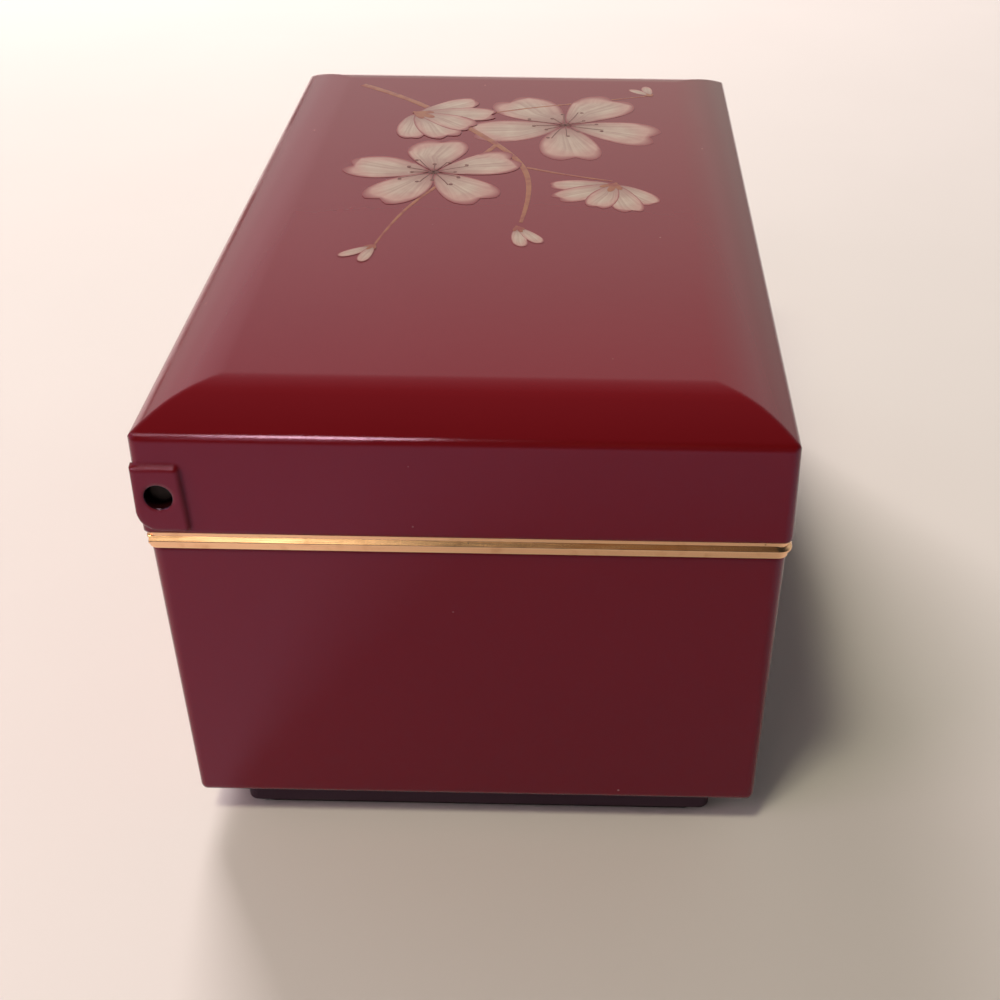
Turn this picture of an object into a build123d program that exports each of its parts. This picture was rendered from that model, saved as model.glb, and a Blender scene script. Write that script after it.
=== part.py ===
"""Lacquered jewelry box: a moulded base with a hinge bar, a bevelled lid on two pins, brass trims and a lined inside.

X runs along the box, -Y is the front that opens, +Y is the hinged back, +Z is up.
The origin is the centre of the rectangle that the box stands on. All sizes are millimetres and degrees.
"""

import os
from math import atan, cos, degrees, radians, sin, tan

from build123d import *

os.makedirs("parts", exist_ok=True)

# Overall sizes
box_length = 126.6
box_width = 75.0
base_height = 41.15
lid_side_height = 14.35
crown_blend_radius = 12.0
crown_blend_turn = 17.0
bevel_radius = 35.0
bevel_turn = 11.0
long_side_arch_run = 9.2
base_draft = 1.1
lid_draft = 0.85

# Shell walls and roundings
wall = 3.0
base_floor = 2.6
lid_roof = 0.8
corner_radius = 0.8
lid_corner_radius = 1.3
lid_corner_clearance = 0.02
crown_edge_radius = 1.1
base_foot_radius = 1.0
lid_lip_radius = 0.5
lid_overhang = 0.4

# Brass trims
base_trim_height = 0.9
lid_trim_height = 1.4
trim_band = 0.45
trim_flange = 0.5
trim_gap = 0.05
trim_proud = 0.15
trim_edge = 0.12
bead_height = 0.75
bead_proud = 0.2

# Hinge
hinge_height = 6.9
hinge_inset = 2.6
bar_root_drop = 3.5
bar_side_gap = 0.3
bar_top_gap = 0.4
corner_sweep_gap = 0.15
corner_relief_rise = 1.2
pin_diameter = 1.8
pin_play = 0.05
pin_grip = 0.025
pin_hold = 8.0
pin_head_diameter = 3.0
pin_head_height = 0.7
pin_head_play = 0.1
pin_head_edge = 0.3

# Hinge ears on the lid
ear_proud = 0.55
ear_root = 0.5
ear_slope = 0.3
ear_top = 10.65
ear_bottom = 2.2
ear_top_width = 5.4
ear_bottom_width = 5.8
ear_back_radius = 2.6
ear_front_radius = 0.6
ear_edge = 0.38
ear_bore_diameter = 3.3
ear_bore_depth = 2.2

# Foot
felt_thickness = 0.8
felt_inset = 0.5
plinth_thickness = 3.7
plinth_end_setback = 2.0
plinth_side_setback = 5.5
plinth_corner_radius = 1.5
plinth_edge = 0.4
screw_diameter = 2.2
screw_head_diameter = 4.2
screw_length = 5.6
screw_tip_height = 0.9
screw_play = 0.1
screw_bite = 0.15
screw_pilot_spare = 0.2
screw_edge_distance = 9.0
screw_slot_width = 0.6
screw_slot_depth = 0.5

# Velvet-covered linings and dividers
lining_thickness = 1.0
floor_lining_thickness = 1.2
lining_drop = 4.0
lining_edge = 0.35
divider_thickness = 2.4
divider_height = 27.0
divider_edge = 0.9
front_well_width = 40.5
ring_bed_height = 14.3
ring_roll_count = 6
ring_roll_width = 6.2
ring_roll_height = 8.4
ring_slot = 0.5
ring_bay_gap = 0.3
ring_roll_end_radius = 1.4

# Lid lining and mirror
lid_lining_thickness = 0.8
lid_lining_lift = 0.8
lid_lining_bar_gap = 0.6
mirror_length = 98.0
mirror_width = 48.0
mirror_thickness = 1.8
mirror_bevel = 0.6
mirror_backing_thickness = 0.8
mirror_gap = 0.1
mirror_frame_wall = 1.9
mirror_frame_lip = 1.0
mirror_frame_lip_thickness = 0.6
mirror_frame_edge = 0.3

# Levels worked out from the sizes above
base_bottom = felt_thickness + plinth_thickness
parting = base_bottom + base_height
base_trim_bottom = parting - base_trim_height
base_rim_top = parting - trim_flange
lid_rim_bottom = parting + trim_flange
lid_trim_top = parting + lid_trim_height
crown_edge_level = parting + lid_side_height
end_arch_run = crown_blend_radius * sin(radians(crown_blend_turn)) + bevel_radius * (
    sin(radians(crown_blend_turn + bevel_turn)) - sin(radians(crown_blend_turn))
)
crown_rise = crown_blend_radius * (1 - cos(radians(crown_blend_turn))) + bevel_radius * (
    cos(radians(crown_blend_turn)) - cos(radians(crown_blend_turn + bevel_turn))
)
long_side_radius = (long_side_arch_run**2 + crown_rise**2) / (2 * crown_rise)
long_side_turn = 2 * degrees(atan(crown_rise / long_side_arch_run))
lid_top = crown_edge_level + crown_rise
lid_ceiling = crown_edge_level - lid_roof
floor_top = base_bottom + base_floor
well_floor = floor_top + floor_lining_thickness
lining_top = parting - lining_drop
ring_bed_top = well_floor + ring_bed_height
hinge_level = parting + hinge_height

# Plan sizes worked out from the sizes above
half_length = box_length / 2
half_width = box_width / 2
cavity_half_length = half_length - wall
cavity_half_width = half_width - wall
lined_half_length = cavity_half_length - lining_thickness
lined_half_width = cavity_half_width - lining_thickness
rim_length = box_length - 2 * (trim_band + trim_gap)
rim_width = box_width - 2 * (trim_band + trim_gap)
base_draft_run = (base_trim_bottom - base_bottom) * tan(radians(base_draft))
base_foot_length = box_length - 2 * (trim_proud + base_draft_run)
base_foot_width = box_width - 2 * (trim_proud + base_draft_run)
lid_length = box_length + 2 * lid_overhang
lid_width = box_width + 2 * lid_overhang
lid_draft_run = (crown_edge_level - lid_trim_top) * tan(radians(lid_draft))
crown_length = lid_length - 2 * lid_draft_run
crown_width = lid_width - 2 * lid_draft_run
plinth_length = base_foot_length - 2 * plinth_end_setback
plinth_width = base_foot_width - 2 * plinth_side_setback
screw_spacing_x = plinth_length - 2 * screw_edge_distance
screw_spacing_y = plinth_width - 2 * screw_edge_distance

# Hinge line worked out from the sizes above
hinge_y = half_width - hinge_inset
bar_back = rim_width / 2
bar_radius = bar_back - hinge_y
bar_front = hinge_y - bar_radius
bar_half_length = cavity_half_length - bar_side_gap
bar_root_level = parting - bar_root_drop
bar_bulge = cavity_half_width - bar_front
back_wall_bottom = hinge_level + bar_radius + bar_top_gap
corner_sweep = hinge_height - corner_sweep_gap
ear_face = lid_length / 2 + ear_proud
ear_seat = ear_face - ear_bore_depth
ears = {"left": -1, "right": 1}


def add_rectangle(x_low, x_high, y_low, y_high, mode=Mode.ADD):
    """Put a rectangle between two X faces and two Y faces into the sketch being drawn."""
    with Locations(((x_low + x_high) / 2, (y_low + y_high) / 2)):
        Rectangle(x_high - x_low, y_high - y_low, mode=mode)


def side_plane(x):
    """A plane square to X at the given place, where its own X is the box's Y and its own Y is the box's Z."""
    return Plane(origin=(x, 0, 0), x_dir=(0, 1, 0), z_dir=(1, 0, 0))


def lid_back_at(level):
    """The Y of the lid's drafted back face at a level."""
    return lid_width / 2 - (level - lid_trim_top) * tan(radians(lid_draft))


# Base shell: a drafted tub with a thinner rim for the brass frame and a hinge bar along the back
with BuildPart() as base_shell:
    with BuildSketch(Plane.XY.offset(base_bottom)):
        RectangleRounded(base_foot_length, base_foot_width, corner_radius)
    extrude(amount=base_trim_bottom - base_bottom, taper=-base_draft)
    fillet(base_shell.faces().sort_by(Axis.Z)[0].edges(), base_foot_radius)
    with BuildSketch(Plane.XY.offset(base_trim_bottom)):
        RectangleRounded(rim_length, rim_width, corner_radius)
    extrude(amount=base_rim_top - base_trim_bottom)
    with BuildSketch(Plane.XY.offset(floor_top)):
        Rectangle(2 * cavity_half_length, 2 * cavity_half_width)
    extrude(amount=base_height, mode=Mode.SUBTRACT)
    with BuildSketch(side_plane(-bar_half_length)):
        with BuildLine():
            Polyline(
                (bar_front, hinge_level),
                (bar_front, bar_root_level + bar_bulge),
                (cavity_half_width, bar_root_level),
                (bar_back, bar_root_level),
                (bar_back, hinge_level),
            )
            CenterArc((hinge_y, hinge_level), bar_radius, 0, 180)
        make_face()
    extrude(amount=2 * bar_half_length)
    for side in ears.values():
        with BuildSketch(side_plane(side * bar_half_length)):
            with Locations((hinge_y, hinge_level)):
                Circle(pin_diameter / 2 - pin_grip)
        extrude(amount=-side * pin_hold, mode=Mode.SUBTRACT)
    with BuildSketch(Plane.XY.offset(base_bottom)):
        with GridLocations(screw_spacing_x, screw_spacing_y, 2, 2):
            Circle(screw_diameter / 2 - screw_bite)
    extrude(amount=screw_length - plinth_thickness + screw_pilot_spare, mode=Mode.SUBTRACT)
base_shell.part.label = "base_shell"
export_step(base_shell.part, "parts/base_shell.step")

# Base trim: an angle frame on the rim, with a plain band behind the hinge bar
with BuildPart() as base_trim:
    with BuildSketch(Plane.XY.offset(base_trim_bottom)):
        RectangleRounded(box_length, box_width, corner_radius + trim_band)
        RectangleRounded(
            box_length - 2 * trim_band,
            box_width - 2 * trim_band,
            corner_radius,
            mode=Mode.SUBTRACT,
        )
    extrude(amount=base_trim_height)
    with BuildSketch(Plane.XY.offset(base_rim_top)):
        RectangleRounded(box_length, box_width, corner_radius + trim_band)
        add_rectangle(
            -cavity_half_length,
            cavity_half_length,
            -cavity_half_width,
            half_width - trim_band,
            Mode.SUBTRACT,
        )
    extrude(amount=trim_flange)
    for level in (base_trim_bottom, parting):
        rim_face = base_trim.faces().filter_by_position(Axis.Z, level, level).sort_by(SortBy.AREA)[-1]
        chamfer(rim_face.outer_wire().edges(), trim_edge)
base_trim.part.label = "base_trim"
export_step(base_trim.part, "parts/base_trim.step")

# Lid shell: drafted sides, bevelled crown, hinge ears, and a back wall that ends above the hinge bar
with BuildPart() as lid_shell:
    with BuildSketch(Plane.XY.offset(lid_trim_top)):
        RectangleRounded(
            lid_length + 2 * lid_corner_clearance, lid_width + 2 * lid_corner_clearance, lid_corner_radius
        )
    extrude(amount=lid_top - lid_trim_top, taper=lid_draft)
    end_arcs = ((crown_blend_radius, crown_blend_turn), (bevel_radius, bevel_turn))
    long_side_arcs = ((long_side_radius, long_side_turn),)
    for plane, top_half, bottom_half, arcs, run, reach in (
        (Plane.YZ, crown_width / 2, lid_width / 2, long_side_arcs, long_side_arch_run, lid_length),
        (Plane.XZ, crown_length / 2, lid_length / 2, end_arcs, end_arch_run, lid_width),
    ):
        with BuildSketch(plane) as arch:
            with BuildLine():
                start, heading = Vector(top_half - run, lid_top), Vector(1, 0)
                for radius, turn in arcs:
                    arc = JernArc(start, heading, radius, -turn)
                    start, heading = arc @ 1, arc % 1
                Polyline(start, (bottom_half, lid_trim_top), (0, lid_trim_top), (0, lid_top), (top_half - run, lid_top))
            make_face()
            fillet(arch.vertices().sort_by_distance((top_half, crown_edge_level))[0], crown_edge_radius)
            mirror(about=Plane.YZ)
        extrude(amount=reach, both=True, mode=Mode.INTERSECT)
    fillet(lid_shell.faces().sort_by(Axis.Z)[0].edges(), lid_lip_radius)
    with BuildSketch(Plane.XY.offset(lid_rim_bottom)):
        RectangleRounded(rim_length, rim_width, corner_radius)
    extrude(amount=lid_trim_height - trim_flange)
    for side in ears.values():
        for x, slope in ((ear_face - ear_proud - ear_root, ear_slope), (ear_face, 0)):
            with BuildSketch(side_plane(side * x)) as ear_outline:
                top_level = parting + ear_top
                bottom_level = parting + ear_bottom
                with BuildLine():
                    Polyline(
                        (lid_back_at(bottom_level), bottom_level - slope),
                        (lid_back_at(top_level), top_level + slope),
                        (lid_back_at(top_level) - ear_top_width - slope, top_level + slope),
                        (lid_back_at(top_level) - ear_bottom_width - slope, bottom_level - slope),
                        close=True,
                    )
                make_face()
                back_corner = ear_outline.vertices().group_by(Axis.Y)[0].sort_by(Axis.X)[-1]
                fillet(back_corner, ear_back_radius)
                fillet(ear_outline.vertices().sort_by(Axis.X)[:2], ear_front_radius)
        loft(ruled=True)
        outer_face = lid_shell.faces().sort_by(Axis.X)[0 if side < 0 else -1]
        fillet(outer_face.edges(), ear_edge)
    with BuildSketch(Plane.XY.offset(parting)):
        Rectangle(2 * cavity_half_length, 2 * cavity_half_width)
    extrude(amount=lid_ceiling - parting, mode=Mode.SUBTRACT)
    with BuildSketch(Plane.XY.offset(parting)):
        add_rectangle(-cavity_half_length, cavity_half_length, 0, lid_width)
    extrude(amount=back_wall_bottom - parting, mode=Mode.SUBTRACT)
    with BuildSketch(side_plane(-ear_face)):
        relief_top = parting + ear_bottom + ear_back_radius
        with BuildLine():
            Polyline(
                (half_width, parting),
                (half_width, relief_top - corner_relief_rise),
                (lid_back_at(relief_top), relief_top),
                (lid_width, relief_top),
                (lid_width, parting),
                close=True,
            )
        make_face()
    extrude(amount=2 * ear_face, mode=Mode.SUBTRACT)
    for side in ears.values():
        with BuildSketch(side_plane(side * ear_face)):
            with Locations((hinge_y, hinge_level)):
                Circle(ear_bore_diameter / 2)
        extrude(amount=-side * ear_bore_depth, mode=Mode.SUBTRACT)
        with BuildSketch(side_plane(side * ear_face)):
            with Locations((hinge_y, hinge_level)):
                Circle(pin_diameter / 2 + pin_play)
        extrude(amount=-side * (ear_face - bar_half_length), mode=Mode.SUBTRACT)
lid_shell.part.label = "lid_shell"
export_step(lid_shell.part, "parts/lid_shell.step")

# Lid trim: the same angle frame upside down with a bead, open along the back, its ends cut clear of the base
with BuildPart() as lid_trim:
    with BuildSketch(Plane.XY.offset(parting)):
        RectangleRounded(box_length, box_width, corner_radius + trim_band)
        RectangleRounded(
            box_length - 2 * trim_band,
            box_width - 2 * trim_band,
            corner_radius,
            mode=Mode.SUBTRACT,
        )
    extrude(amount=lid_trim_height)
    with BuildSketch(Plane.XY.offset(parting)):
        RectangleRounded(box_length, box_width, corner_radius + trim_band)
        Rectangle(2 * cavity_half_length, 2 * cavity_half_width, mode=Mode.SUBTRACT)
    extrude(amount=trim_flange)
    with BuildSketch(Plane.XY.offset(parting)):
        RectangleRounded(
            box_length + 2 * bead_proud,
            box_width + 2 * bead_proud,
            corner_radius + trim_band + bead_proud,
        )
        RectangleRounded(
            box_length - trim_band,
            box_width - trim_band,
            corner_radius + trim_band / 2,
            mode=Mode.SUBTRACT,
        )
    extrude(amount=bead_height)
    for level in (parting, parting + bead_height):
        bead_face = lid_trim.faces().filter_by_position(Axis.Z, level, level).sort_by(SortBy.AREA)[-1]
        chamfer(bead_face.outer_wire().edges(), trim_edge)
    with BuildSketch(Plane.XY.offset(parting)):
        add_rectangle(-cavity_half_length, cavity_half_length, 0, lid_width)
    extrude(amount=lid_trim_height, mode=Mode.SUBTRACT)
    with BuildSketch(side_plane(-lid_length / 2)):
        add_rectangle(hinge_y, lid_width, parting, hinge_level)
        with Locations((hinge_y, hinge_level)):
            Circle(corner_sweep, mode=Mode.SUBTRACT)
    extrude(amount=lid_length, mode=Mode.SUBTRACT)
    with BuildSketch(side_plane(-lid_length / 2)):
        add_rectangle(half_width, lid_width, parting, hinge_level)
    extrude(amount=lid_length, mode=Mode.SUBTRACT)
lid_trim.part.label = "lid_trim"
export_step(lid_trim.part, "parts/lid_trim.step")

# Hinge pins: a domed head sunk in the ear's bore and a shank pressed into the end of the hinge bar
for end_name, side in ears.items():
    with BuildPart() as hinge_pin:
        with BuildSketch(side_plane(side * (ear_seat + pin_head_play))):
            with Locations((hinge_y, hinge_level)):
                Circle(pin_head_diameter / 2)
        extrude(amount=side * pin_head_height)
        head_face = hinge_pin.faces().sort_by(Axis.X)[0 if side < 0 else -1]
        fillet(head_face.edges(), pin_head_edge)
        with BuildSketch(side_plane(side * (bar_half_length - pin_hold))):
            with Locations((hinge_y, hinge_level)):
                Circle(pin_diameter / 2)
        extrude(amount=side * (ear_seat + pin_head_play - bar_half_length + pin_hold))
    hinge_pin.part.label = f"hinge_pin_{end_name}"
    export_step(hinge_pin.part, f"parts/hinge_pin_{end_name}.step")

# Plinth: the recessed foot board, with countersunk holes on its underside
with BuildPart() as plinth:
    with BuildSketch(Plane.XY.offset(felt_thickness)):
        RectangleRounded(plinth_length, plinth_width, plinth_corner_radius)
    extrude(amount=plinth_thickness)
    chamfer(plinth.faces().sort_by(Axis.Z)[0].edges(), plinth_edge)
    with Locations(Plane(origin=(0, 0, felt_thickness), z_dir=(0, 0, -1))):
        with GridLocations(screw_spacing_x, screw_spacing_y, 2, 2):
            CounterSinkHole(
                radius=screw_diameter / 2 + screw_play,
                counter_sink_radius=screw_head_diameter / 2 + screw_play,
                depth=plinth_thickness,
                counter_sink_angle=90,
            )
plinth.part.label = "plinth"
export_step(plinth.part, "parts/plinth.step")

# Plinth screws: countersunk, slotted, biting into the base's floor
with BuildPart() as plinth_screw:
    head_radius = screw_head_diameter / 2
    shank_radius = screw_diameter / 2
    with BuildSketch(Plane.XZ):
        with BuildLine():
            Polyline(
                (0, felt_thickness),
                (head_radius, felt_thickness),
                (shank_radius, felt_thickness + head_radius - shank_radius),
                (shank_radius, felt_thickness + screw_length - screw_tip_height),
                (0, felt_thickness + screw_length),
                close=True,
            )
        make_face()
    revolve(axis=Axis.Z)
    with BuildSketch(Plane.XY.offset(felt_thickness)):
        Rectangle(screw_head_diameter, screw_slot_width)
    extrude(amount=screw_slot_depth, mode=Mode.SUBTRACT)
with BuildPart() as plinth_screws:
    with GridLocations(screw_spacing_x, screw_spacing_y, 2, 2):
        add(plinth_screw.part)
plinth_screws.part.label = "plinth_screws"
export_step(plinth_screws.part, "parts/plinth_screws.step")

# Base felt: the sheet that the box stands on
with BuildPart() as base_felt:
    with BuildSketch(Plane.XY):
        RectangleRounded(
            plinth_length - 2 * (plinth_edge + felt_inset),
            plinth_width - 2 * (plinth_edge + felt_inset),
            plinth_corner_radius,
        )
    extrude(amount=felt_thickness)
base_felt.part.label = "base_felt"
export_step(base_felt.part, "parts/base_felt.step")

# Floor lining: velvet on card over the whole floor
with BuildPart() as floor_lining:
    with BuildSketch(Plane.XY.offset(floor_top)):
        Rectangle(2 * cavity_half_length, 2 * cavity_half_width)
    extrude(amount=floor_lining_thickness)
floor_lining.part.label = "floor_lining"
export_step(floor_lining.part, "parts/floor_lining.step")

# Wall linings: two long panels, and two short ones between them
wall_linings = {
    "front_lining": (-cavity_half_length, cavity_half_length, -cavity_half_width, -lined_half_width),
    "back_lining": (-cavity_half_length, cavity_half_length, lined_half_width, cavity_half_width),
    "left_lining": (-cavity_half_length, -lined_half_length, -lined_half_width, lined_half_width),
    "right_lining": (lined_half_length, cavity_half_length, -lined_half_width, lined_half_width),
}
for lining_name, footprint in wall_linings.items():
    with BuildPart() as wall_lining:
        with BuildSketch(Plane.XY.offset(well_floor)):
            add_rectangle(*footprint)
        extrude(amount=lining_top - well_floor)
        long_axis = Axis.X if lining_name in ("front_lining", "back_lining") else Axis.Y
        fillet(wall_lining.faces().sort_by(Axis.Z)[-1].edges().filter_by(long_axis), lining_edge)
    wall_lining.part.label = lining_name
    export_step(wall_lining.part, f"parts/{lining_name}.step")

# Ring bay: its width follows from the padded rolls and the slots between them
ring_pitch = ring_roll_width + ring_slot
ring_bay_width = ring_roll_count * ring_pitch - ring_slot + 2 * ring_bay_gap
ring_bay_end = ring_bay_width - lined_half_length
ring_bay_middle = (ring_bay_end - lined_half_length) / 2
cross_divider_end = ring_bay_end + divider_thickness

# Cross divider: parts the ring bay from the wells
with BuildPart() as cross_divider:
    with BuildSketch(Plane.XY.offset(well_floor)):
        add_rectangle(ring_bay_end, cross_divider_end, -lined_half_width, lined_half_width)
    extrude(amount=divider_height)
    fillet(cross_divider.faces().sort_by(Axis.Z)[-1].edges().filter_by(Axis.Y), divider_edge)
cross_divider.part.label = "cross_divider"
export_step(cross_divider.part, "parts/cross_divider.step")

# Well divider: parts the front well from the back well
with BuildPart() as well_divider:
    divider_front = front_well_width - lined_half_width
    with BuildSketch(Plane.XY.offset(well_floor)):
        add_rectangle(cross_divider_end, lined_half_length, divider_front, divider_front + divider_thickness)
    extrude(amount=divider_height)
    fillet(well_divider.faces().sort_by(Axis.Z)[-1].edges().filter_by(Axis.X), divider_edge)
well_divider.part.label = "well_divider"
export_step(well_divider.part, "parts/well_divider.step")

# Ring bed: the block that carries the padded rolls
with BuildPart() as ring_bed:
    with BuildSketch(Plane.XY.offset(well_floor)):
        with Locations((ring_bay_middle, 0)):
            Rectangle(ring_bay_width - 2 * ring_bay_gap, 2 * (lined_half_width - ring_bay_gap))
    extrude(amount=ring_bed_height)
ring_bed.part.label = "ring_bed"
export_step(ring_bed.part, "parts/ring_bed.step")

# Ring rolls: padded rolls side by side, each with a round crown and drawn-in ends
with BuildPart() as ring_roll:
    crown_radius = ring_roll_width / 2
    crown_centre = ring_bed_top + ring_roll_height - crown_radius
    with BuildSketch(Plane.XZ):
        with BuildLine():
            Polyline(
                (-crown_radius, crown_centre),
                (-crown_radius, ring_bed_top),
                (crown_radius, ring_bed_top),
                (crown_radius, crown_centre),
            )
            CenterArc((0, crown_centre), crown_radius, 0, 180)
        make_face()
    extrude(amount=lined_half_width - ring_bay_gap, both=True)
    fillet(ring_roll.faces().filter_by(Axis.Y).edges(), ring_roll_end_radius)
with BuildPart() as ring_rolls:
    with Locations((ring_bay_middle, 0)):
        with GridLocations(ring_pitch, 0, ring_roll_count, 1):
            add(ring_roll.part)
ring_rolls.part.label = "ring_rolls"
export_step(ring_rolls.part, "parts/ring_rolls.step")

# Lid linings: one sheet on the ceiling and four strips round the sides
lid_lining_level = lid_ceiling - lid_lining_thickness
with BuildPart() as lid_lining:
    with BuildSketch(Plane.XY.offset(lid_lining_level)):
        Rectangle(2 * cavity_half_length, 2 * cavity_half_width)
    extrude(amount=lid_lining_thickness)
lid_lining.part.label = "lid_lining"
export_step(lid_lining.part, "parts/lid_lining.step")

inner_half_length = cavity_half_length - lid_lining_thickness
inner_half_width = cavity_half_width - lid_lining_thickness
strip_bottom = lid_trim_top + lid_lining_lift
strip_back = bar_front - lid_lining_bar_gap
lid_strips = {
    "lid_front_lining": (-cavity_half_length, cavity_half_length, -cavity_half_width, -inner_half_width, strip_bottom),
    "lid_back_lining": (
        -cavity_half_length,
        cavity_half_length,
        inner_half_width,
        cavity_half_width,
        back_wall_bottom + bar_top_gap,
    ),
    "lid_left_lining": (-cavity_half_length, -inner_half_length, -inner_half_width, strip_back, strip_bottom),
    "lid_right_lining": (inner_half_length, cavity_half_length, -inner_half_width, strip_back, strip_bottom),
}
for strip_name, (x_low, x_high, y_low, y_high, z_low) in lid_strips.items():
    with BuildPart() as lid_strip:
        with BuildSketch(Plane.XY.offset(z_low)):
            add_rectangle(x_low, x_high, y_low, y_high)
        extrude(amount=lid_lining_level - z_low)
    lid_strip.part.label = strip_name
    export_step(lid_strip.part, f"parts/{strip_name}.step")

# Mirror: backing card, bevelled glass and the frame whose lip holds them
glass_top = lid_lining_level - mirror_backing_thickness
glass_bottom = glass_top - mirror_thickness
with BuildPart() as mirror_backing:
    with BuildSketch(Plane.XY.offset(glass_top)):
        Rectangle(mirror_length, mirror_width)
    extrude(amount=mirror_backing_thickness)
mirror_backing.part.label = "mirror_backing"
export_step(mirror_backing.part, "parts/mirror_backing.step")

with BuildPart() as mirror_glass:
    with BuildSketch(Plane.XY.offset(glass_bottom)):
        Rectangle(mirror_length, mirror_width)
    extrude(amount=mirror_thickness)
    chamfer(mirror_glass.faces().sort_by(Axis.Z)[0].edges(), mirror_bevel, 2 * mirror_bevel)
mirror_glass.part.label = "mirror_glass"
export_step(mirror_glass.part, "parts/mirror_glass.step")

with BuildPart() as mirror_frame:
    with BuildSketch(Plane.XY.offset(glass_bottom - mirror_frame_lip_thickness)):
        Rectangle(
            mirror_length + 2 * (mirror_gap + mirror_frame_wall),
            mirror_width + 2 * (mirror_gap + mirror_frame_wall),
        )
    extrude(amount=lid_lining_level - glass_bottom + mirror_frame_lip_thickness)
    fillet(mirror_frame.faces().sort_by(Axis.Z)[0].edges(), mirror_frame_edge)
    with BuildSketch(Plane.XY.offset(glass_bottom)):
        Rectangle(mirror_length + 2 * mirror_gap, mirror_width + 2 * mirror_gap)
    extrude(amount=lid_lining_level - glass_bottom, mode=Mode.SUBTRACT)
    with BuildSketch(Plane.XY.offset(glass_bottom - mirror_frame_lip_thickness)):
        Rectangle(mirror_length - 2 * mirror_frame_lip, mirror_width - 2 * mirror_frame_lip)
    extrude(amount=mirror_frame_lip_thickness, mode=Mode.SUBTRACT)
mirror_frame.part.label = "mirror_frame"
export_step(mirror_frame.part, "parts/mirror_frame.step")
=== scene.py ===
"""Lacquered jewelry box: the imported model's solids dressed with lacquer, brass, velvet, mirror and painted blossoms.

Object coordinates are metres in the part's own frame: X along the box, -Y the front that opens, +Z up.
"""

import math

import bpy
import bmesh
from bpy.props import FloatProperty, FloatVectorProperty, PointerProperty
from mathutils import Matrix, Vector


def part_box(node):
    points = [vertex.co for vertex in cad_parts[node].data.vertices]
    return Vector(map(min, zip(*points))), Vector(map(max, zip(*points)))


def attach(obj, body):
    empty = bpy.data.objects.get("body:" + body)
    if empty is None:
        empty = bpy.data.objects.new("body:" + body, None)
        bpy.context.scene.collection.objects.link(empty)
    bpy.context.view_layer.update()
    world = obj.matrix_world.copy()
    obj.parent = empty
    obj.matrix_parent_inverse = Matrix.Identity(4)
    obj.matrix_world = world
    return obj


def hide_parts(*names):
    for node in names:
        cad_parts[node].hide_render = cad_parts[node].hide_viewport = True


bl_info = {
    "name": "Lacquered Jewelry Box",
    "version": (1, 0, 0),
    "blender": (4, 5, 0),
    "location": "View3D > Sidebar > Jewelry Box",
    "description": "Dresses the packed jewelry box with its lacquer, trims, linings, mirror and painted blossoms",
    "category": "Object",
}

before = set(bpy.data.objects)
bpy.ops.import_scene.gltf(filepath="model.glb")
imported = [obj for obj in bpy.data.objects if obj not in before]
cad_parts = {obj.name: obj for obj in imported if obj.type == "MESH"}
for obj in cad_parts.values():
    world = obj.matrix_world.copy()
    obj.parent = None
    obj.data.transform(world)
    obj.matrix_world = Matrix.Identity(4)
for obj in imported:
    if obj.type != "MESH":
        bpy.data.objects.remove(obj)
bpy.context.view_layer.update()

MM = 0.001
# Two levels nearer than this, in millimetres, are one level
LEVEL = 0.01
# Cloth runs this many times larger, where its solver is steady
CLOTH_SCALE = 10
# Edges turned by more than this many degrees shade as corners
SHARP_ANGLE = 40

# The lid's bead, in millimetres: how far it stands over the rim's lower edge and out from the rim, its height and
# depth, the upright part of its face, how far its slope leans in, its corner and arris radii, and where it ends
BEAD_LIFT = 0.1
BEAD_PROUD = 0.24
BEAD_HEIGHT = 0.88
BEAD_DEPTH = 1.1
BEAD_FACE = 0.3
BEAD_SLOPE = 0.47
BEAD_CORNER = 1.69
BEAD_ROUND = 0.07
BEAD_END = 37.1

# How much further from the middle a mitre is along the box than across it, in millimetres
MITRE_EXCESS = 25.4
# The radii of the lacquer's buffed arrises and of the bores in the hinge ears, in millimetres
ARRIS_RADIUS = 0.8
BORE_RADIUS = 1.66
# The radii of the felt's corners and of its lower edge, in millimetres
FELT_CORNER = 2.4
FELT_EDGE = 0.25

# Lining sizes in millimetres: how far the floor's board and the dividers go down for the pads, edge radii, and
# the width of the bands that let a wall or a divider swell
FLOOR_SINK = 0.6
LINING_EDGE = 0.38
DIVIDER_EDGE = 1.1
BAND = 2.5
# The floor pads' gaps at the walls and at the dividers, their rise at rest, edge radius and point spacing
PAD_WALL_GAP = 0.4
PAD_DIVIDER_GAP = 0.15
PAD_RISE = 0.2
PAD_EDGE = 0.5
PAD_SPACING = 1.7
# The ring rolls: how many, the gap between them, the room they leave to swell, edge radius and point spacing
ROLL_COUNT = 6
ROLL_GAP = 0.5
ROLL_ROOM = 0.3
ROLL_EDGE = 2.7
ROLL_SPACING = 1.1
# The lid pad's point spacing, the height of its swell and of its gathers, and the gathers' short and long waves
LID_PAD_SPACING = 0.9
LID_PAD_SWELL = 1.1
GATHER_HEIGHT = 0.14
GATHER_WAVES = (1.9, 7.3)

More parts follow.
